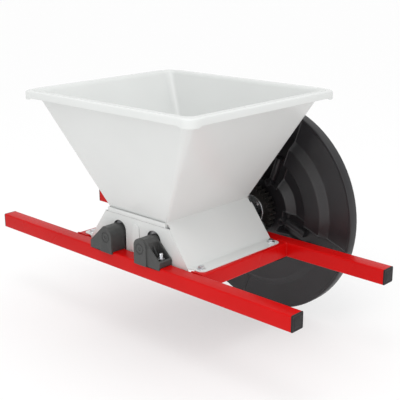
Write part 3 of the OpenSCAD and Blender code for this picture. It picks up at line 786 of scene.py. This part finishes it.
def make_blocks():
    ring = [(8.2, -1), (10.8, -1), (10.8, 1.1), (8.2, 1.1), (8.2, -1)]
    for sx, name in ((-1, "left"), (1, "right")):
        face = (sx * AXLE_X, -154, 57.5)
        groove = lathe(ring, 48, face, "Y")
        dimple = lathe([(0, -1), (3.2, -1), (3.2, 0.7), (0, 0.9)], 32, face, "Y")
        reworked("front_" + name + "_block", bevel=0.8, segments=3, cutters=(groove, dimple))
        reworked("rear_" + name + "_block", bevel=0.8, segments=3)


# ---- fasteners ----


def make_fasteners():
    corners = [(sx, sy) for sx in (-1, 1) for sy in (-1, 1)]
    turns = (0.3, 1.1, 0.7, 0.15)
    z = FLANGE_TOP
    rings = [washer(8, 3.1, 1.6, (sx * SCREW_X, sy * SCREW_Y, z)) for sx, sy in corners]
    piece("housing_washer_set", together(*rings), "frame", "zinc_plate", ["housing_washers"])
    screws = []
    for (sx, sy), turn in zip(corners, turns):
        at = (sx * SCREW_X, sy * SCREW_Y)
        screws.append(hexagon(5.8, 4, 0, (*at, z + 1.6), "Z", turn))
        screws.append(threaded(3, 1.0, 4, 20.4, (*at, z + 1.6), "-Z", 24))
    piece("housing_screw_set", together(*screws), "frame", "zinc_plate", ["housing_screws"])
    bolts, nuts, rings = [], [], []
    for (sx, sy), turn in zip(corners, turns):
        at = (sx * BLOCK_BOLT_X, sy * RAIL_Y)
        bolts.append(hexagon(7.5, 5.3, 0, (*at, 22.7), "Z", turn))
        bolts.append(threaded(4, 1.25, 7, 26, (*at, 28), "Z", 32))
        nuts.append(hexagon(7.5, 6.5, 4.05, (*at, 37.6), "Z", turn + 0.4))
        rings.append(washer(9, 4.1, 1.6, (*at, 36), "Z"))
    piece("block_bolt_set", together(*bolts), "frame", "zinc_plate", ["block_bolts"])
    piece("block_nut_set", together(*nuts), "frame", "zinc_plate", ["block_nuts"])
    piece("block_washer_set", together(*rings), "frame", "zinc_plate", ["block_washers"])
    for side, body in ((1, "drive"), (-1, "driven")):
        screws = []
        for i in range(4):
            a = math.radians(90 * i + 45)
            at = (side * AXLE_X + 24 * math.cos(a), 160, AXLE_Z - 24 * math.sin(a))
            screws.append(hexagon(4.6, 3, 0, at, "-Y", i * 0.7))
            screws.append(threaded(2.5, 0.8, 3, 12.9, at, "Y", 20))
        piece(body + "_gear_screw_set", together(*screws), body, "zinc_plate", [body + "_gear_screws"])
        flange = lathe([(10.05, 163), (10.05, 160.4), (10.5, 160), (15.5, 160), (16.2, 160.45),
                        (17.4, 160.45), (18.1, 160), (31.8, 160), (32.6, 160.2), (33, 160.8),
                        (33, 162.8), (32.7, 163), (10.05, 163)], 72, (side * AXLE_X, 0, AXLE_Z), "Y")
        piece(body + "_gear_plate", flange, body, "zinc_plate", [body + "_gear_flange"])
    end_washer = washer(15, 4.1, 3, (-AXLE_X, 181, AXLE_Z), "Y")
    piece("driven_gear_end_washer", end_washer, "driven", "zinc_plate", ["driven_gear_washer"])
    end_bolt = together(hexagon(7.5, 5.3, 0, (-AXLE_X, 184, AXLE_Z), "Y", 0.5),
                        threaded(4, 1.25, 3, 20.9, (-AXLE_X, 184, AXLE_Z), "-Y", 24))
    piece("driven_gear_end_bolt", end_bolt, "driven", "zinc_plate", ["driven_gear_bolt"])
    wheel_washer = washer(17, 8.1, 3, (AXLE_X, 228, AXLE_Z), "Y")
    piece("wheel_washer", wheel_washer, "drive", "zinc_plate", ["flywheel_washer"])
    wheel_nut = hexagon(13.8, 12, 8.05, (AXLE_X, 231, AXLE_Z), "Y", 0.2)
    piece("wheel_nut", wheel_nut, "drive", "zinc_plate", ["flywheel_nut"])


# ---- rollers and gears ----


def make_rollers():
    for node in ("drive_roller", "driven_roller"):
        reworked(node, bevel=0.8, sharp=40)
    for node in ("drive_gear", "driven_gear"):
        reworked(node, bevel=0.35, sharp=35)
    reworked("driven_shaft", bevel=0.6)
    reworked("drive_shaft", bevel=0.4)
    for node in ("drive_roller_pins", "driven_roller_pins",
                 "drive_gear_key", "driven_gear_key", "flywheel_key"):
        shown = frame["nodes"][node]
        shown.data.materials.clear()
        shown.data.materials.append(MATERIALS[SLOT_OF[node]])


# ---- flywheel ----

WHEEL_R, CRANK_R, CRANK_SPOKE = 225.0, 165.0, 160
CHANNEL_HALF = 26.6
SPOKES = [-20, 70, 160, 250]


def make_wheel():
    front = filleted([(10.05, 184), (30, 184), (30.8, 192), (70, 192), (86, 205), (117.8, 205), (119.2, 188),
                      (157, 188), (173, 200), (219.4, 200), (221, 198.4), (223.4, 198.4), (225, 200.6)], 2.2)
    back = filleted([(10.05, 228), (29.2, 228), (30.4, 196.5), (68, 196.5), (84, 209.5), (122.4, 209.5),
                     (123.8, 193.5), (155, 193.5), (171, 204.5), (213.6, 204.5), (214.6, 220), (223.6, 220),
                     (225, 218.6)], 1.8)
    floor = filleted([(58, 192), (61.5, 192), (64, 209), (112, 211), (141, 211), (149, 211),
                      (173, 210), (208, 202), (215, 200), (220, 200)], 5)
    radii = sorted({round(r, 2) for r, _ in front + back + floor if 10.05 <= r <= WHEEL_R}
                   | {60, 63, 66, 92, 98, 104, 110, 126, 133, 145, 165, 181, 189, 197})
    radii = [r for i, r in enumerate(radii) if i == 0 or r - radii[i - 1] > 0.12]
    lanes = [-CHANNEL_HALF, -25.4, -24.2, -23.2, -22.2, -21.0, -19.5, -13.5, -8.2,
             -7.3, -6.9, -6.0, -4.6, -2.4]
    lanes = lanes + [0] + [-c for c in reversed(lanes)]

    def columns(r):
        """(angle from the spoke's middle, distance across from it) round one quarter."""
        scale = min(1.0, r / 62)
        reach = max(r, (CHANNEL_HALF + 0.1) * scale + 1)
        out = []
        edge = math.asin(CHANNEL_HALF * scale / reach)
        for i in range(10):
            out.append((blend(-math.pi / 4, -edge, i / 10), 99))
        for c in lanes:
            out.append((math.asin(c * scale / reach), c))
        for i in range(1, 10):
            out.append((blend(edge, math.pi / 4, i / 10), 99))
        return out

    def heights(r, c):
        y, yb = along(front, r), along(back, r)
        if r > 60:
            into = ease((24.2 - abs(c)) / 3.2)
            ch = along(floor, r)
            lip = 1.2 * max(0.0, 1 - abs(abs(c) - 25.4) / 1.2) * ease((r - 60) / 4)
            y = blend(y, max(y, ch), into) - lip
            yb = max(yb, y + 4.5) if r < 213 else yb
        if 58 < r < 118 and abs(c) < 7:
            y = min(y, 204 - math.sqrt(max(0.0, 49 - c * c)))
        return y, max(yb, y + 1.2)

    fronts, backs = [], []
    for r in radii:
        f_ring, b_ring = [], []
        for spoke in SPOKES:
            for a, c in columns(r):
                t = math.radians(spoke) + a
                x, z = AXLE_X + r * math.cos(t), AXLE_Z + r * math.sin(t)
                y, yb = heights(r, c)
                f_ring.append((x, y, z))
                b_ring.append((x, yb, z))
        fronts.append(f_ring)
        backs.append(b_ring)
    parts = [lofted(fronts + list(reversed(backs)), True)]
    for spoke in SPOKES:
        t = math.radians(spoke)
        at = (AXLE_X + 60 * math.cos(t), 0, AXLE_Z + 60 * math.sin(t))
        parts.append(lathe([(0, 190.9), (5.2, 190.9), (6.0, 190.3), (7.6, 190.1), (8.6, 190.5), (9, 191.4),
                            (9, 203), (0, 203)], 40, at, "Y"))
    grip_at = crank()
    parts.append(lathe([(5.1, 210), (15.6, 210), (15.2, 212.5), (15, 216), (15, 225), (14.6, 225.8),
                        (13.8, 226), (6.0, 226), (5.1, 225.2), (5.1, 210)],
                       48, (grip_at[0], 0, grip_at[1]), "Y"))
    piece("flywheel_moulding", together(*parts), "drive", "wheel_plastic", ["flywheel"], sharp=42)


def crank():
    """Where the grip's spindle crosses the flywheel, as (x, z)."""
    t = math.radians(CRANK_SPOKE)
    return AXLE_X + CRANK_R * math.cos(t), AXLE_Z + CRANK_R * math.sin(t)


def make_handle():
    x, z = crank()
    at = (x, 0, z)
    nut = hexagon(9.8, 8, 5.05, (x, 199.4, z), "Y", 0.3)
    piece("handle_nut_detail", nut, "drive", "zinc_plate", ["handle_nut"])
    rings = [washer(11, 5.1, 1.6, (x, y, z), "Y") for y in (207.4, 226)]
    piece("handle_washer_set", together(*rings), "drive", "zinc_plate", ["handle_washers"])
    rod = [(0, 197.4), (4.2, 197.4), (5, 198.2), (5, 227.6), (6, 227.6), (6, 337.6),
           (9.2, 337.6), (10, 338.2), (10, 341.2), (9.3, 342.2), (7.5, 342.6), (0, 342.6)]
    piece("handle_spindle_turned", lathe(rod, 48, at, "Y"), "drive", "zinc_plate",
          ["handle_spindle"], sharp=35)
    profile = [(6.05, 228.6)]
    for i in range(61):
        t = i / 60
        r = 14 + 2.5 * math.sin(math.pi * t) - 4 * abs(2 * t - 1) ** 12
        r -= 0.5 * math.exp(-((t - 0.08) / 0.008) ** 2) + 0.5 * math.exp(-((t - 0.92) / 0.008) ** 2)
        profile.append((r, 228.6 + 108 * t))
    profile += [(6.05, 336.6), (6.05, 228.6)]
    piece("handle_grip_turned", lathe(profile, 64, at, "Y"), "grip", "grip_plastic",
          ["handle_grip"], sharp=40)


make_camera()
make_studio()
make_hopper()
make_frame()
make_blocks()
make_fasteners()
make_rollers()
make_wheel()
make_handle()
